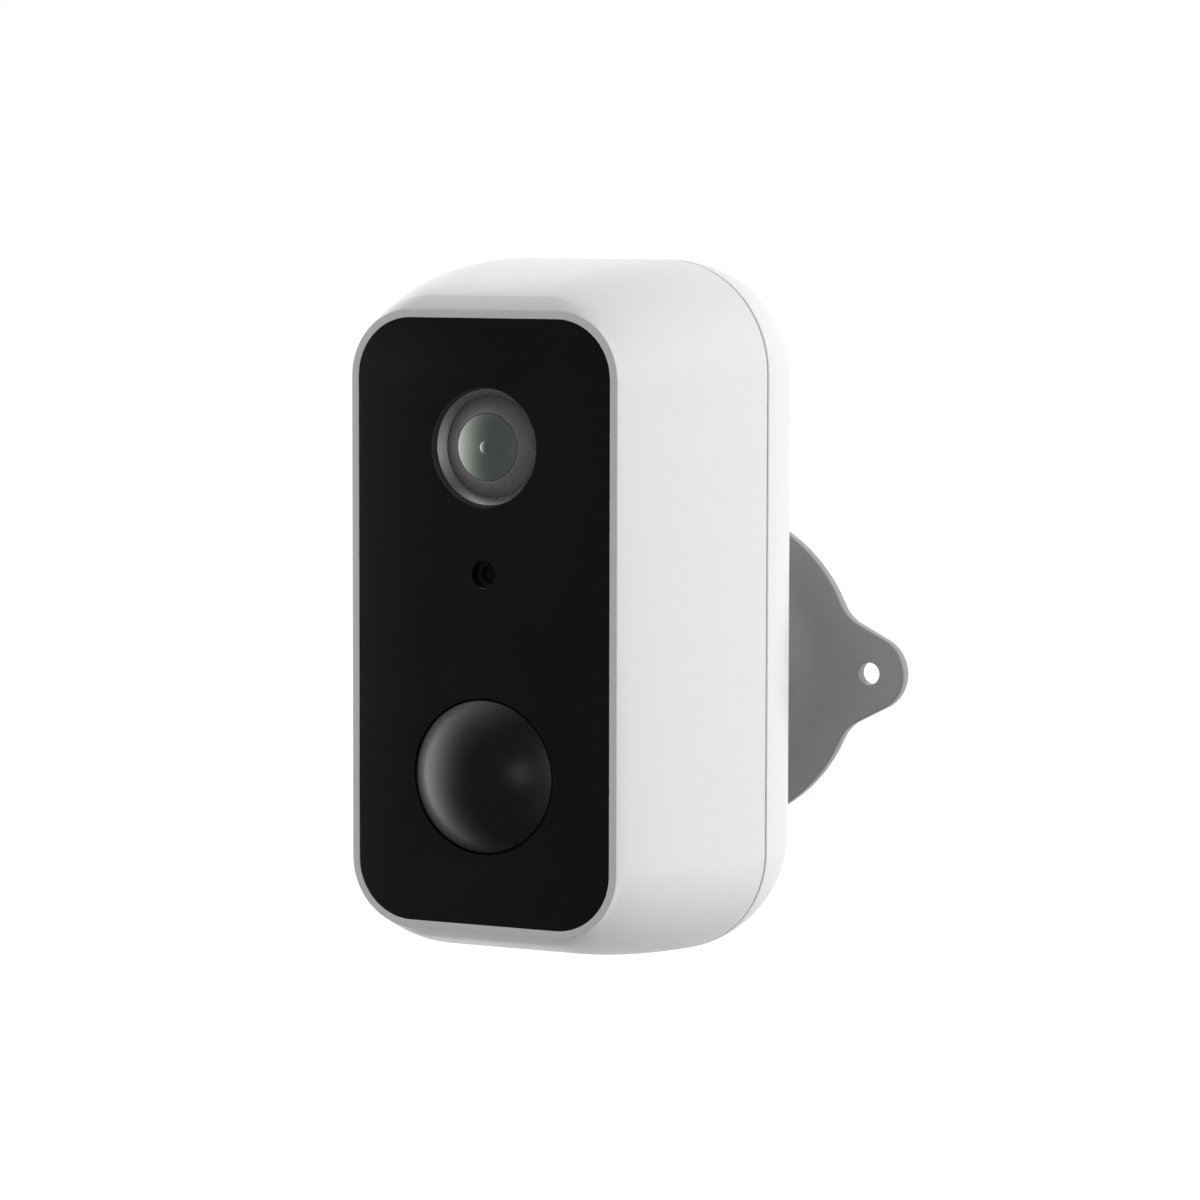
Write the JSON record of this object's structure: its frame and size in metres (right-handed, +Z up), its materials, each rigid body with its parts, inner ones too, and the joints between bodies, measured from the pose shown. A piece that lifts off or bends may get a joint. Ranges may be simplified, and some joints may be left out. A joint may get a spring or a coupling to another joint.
{
  "type": "baby monitor camera",
  "caption": "Upright white wire-free nursery camera with a black front panel, lens and motion dome, on a round wall plate with a ball joint.",
  "frame": {"origin": "centre of the wall plate's back face, on the wall", "axes": "+X right as seen from in front, +Y into the wall, +Z up; the camera looks along -Y"},
  "size_m": [0.066, 0.0793, 0.1008],
  "materials": {
    "white_shell": "smooth satin moulded plastic",
    "bracket_metal": "satin grey",
    "black_gloss": "polished",
    "black_satin": "satin",
    "black_dome": "semi-gloss",
    "bezel": "polished",
    "glass": "coated and clear",
    "rubber": "matt",
    "foam_tape": "closed-cell foam",
    "circuit_board": "solder resist",
    "chip": "moulded epoxy",
    "led_body": "clear epoxy",
    "steel": "plain",
    "brass": "turned",
    "cell_wrap": "film-wrapped can",
    "nickel": "plated strip",
    "grey_plastic": "satin",
    "flex_film": "polyimide film"
  },
  "bodies": {
    "bracket": {"wall_plate": "bracket_metal"},
    "locking_ring": {"locking_ring": "bracket_metal"},
    "friction_cup": {"friction_cup": "black_satin"},
    "ball_stud": {"pivot_ball": "steel", "stud_screw": "steel"},
    "thumb_nut": {"thumb_nut": "brass"},
    "camera": {"front_housing": "white_shell", "rear_cover": "white_shell", "seal_ring": "rubber", "front_panel": "black_gloss", "panel_tape": "foam_tape", "lens_bezel": "bezel", "lens_barrel": "black_satin", "lens_front_glass": "glass", "iris_plate": "black_satin", "lens_rear_glass": "glass", "lens_holder": "black_satin", "ir_cut_filter": "glass", "image_sensor": "chip", "camera_board": "circuit_board", "led_board": "circuit_board", "infrared_led_1": "led_body", "infrared_led_2": "led_body", "infrared_led_3": "led_body", "infrared_led_4": "led_body", "light_sensor": "glass", "status_led": "led_body", "microphone_gasket": "rubber", "microphone": "steel", "led_cable": "flex_film", "pir_dome_lens": "black_dome", "pir_clamp_ring": "grey_plastic", "pir_sensor": "steel", "pir_board": "circuit_board", "main_board": "circuit_board", "shield_can": "steel", "wifi_antenna": "flex_film", "speaker": "black_satin", "button_board": "circuit_board", "power_switch": "chip", "reset_switch": "chip", "charge_board": "circuit_board", "charge_port": "steel", "battery_cell_1": "cell_wrap", "battery_cell_2": "cell_wrap", "battery_tray": "grey_plastic", "battery_strip_top": "nickel", "battery_strip_bottom": "nickel", "case_screw_1": "steel", "case_screw_2": "steel", "case_screw_3": "steel", "case_screw_4": "steel", "mount_insert": "brass"},
    "power_button": {"power_button": "grey_plastic"},
    "reset_button": {"reset_button": "grey_plastic"},
    "port_flap": {"port_flap": "rubber"}
  },
  "joints": [
    {"name": "ring_turn", "type": "hinge", "parent": "bracket", "child": "locking_ring", "pos_m": [0, -0.0105, 0], "axis": [0, -1, 0], "range_deg": [0, 60]},
    {"name": "pan", "type": "hinge", "parent": "bracket", "child": "friction_cup", "pos_m": [0, -0.0105, 0], "axis": [0, 0, 1], "range_deg": [-30, 30]},
    {"name": "tilt", "type": "hinge", "parent": "friction_cup", "child": "ball_stud", "pos_m": [0, -0.0105, 0], "axis": [1, 0, 0], "range_deg": [-20, 30]},
    {"name": "roll", "type": "hinge", "parent": "ball_stud", "child": "camera", "pos_m": [0, -0.0105, 0], "axis": [0, -1, 0], "range_deg": [-90, 90]},
    {"name": "nut_turn", "type": "hinge", "parent": "ball_stud", "child": "thumb_nut", "pos_m": [0, -0.0105, 0], "axis": [0, -1, 0], "range_deg": [0, 90]},
    {"name": "power_press", "type": "slide", "parent": "camera", "child": "power_button", "axis": [0, -1, 0], "range_m": [0, 0.0005], "stiffness_N_per_m": 2000, "springref_m": -0.0002},
    {"name": "reset_press", "type": "slide", "parent": "camera", "child": "reset_button", "axis": [0, -1, 0], "range_m": [0, 0.0005], "stiffness_N_per_m": 1500, "springref_m": -0.0002},
    {"name": "flap_open", "type": "hinge", "parent": "camera", "child": "port_flap", "pos_m": [0, -0.0215, 0.0353], "axis": [-1, 0, 0], "range_deg": [0, 110]}
  ]
}
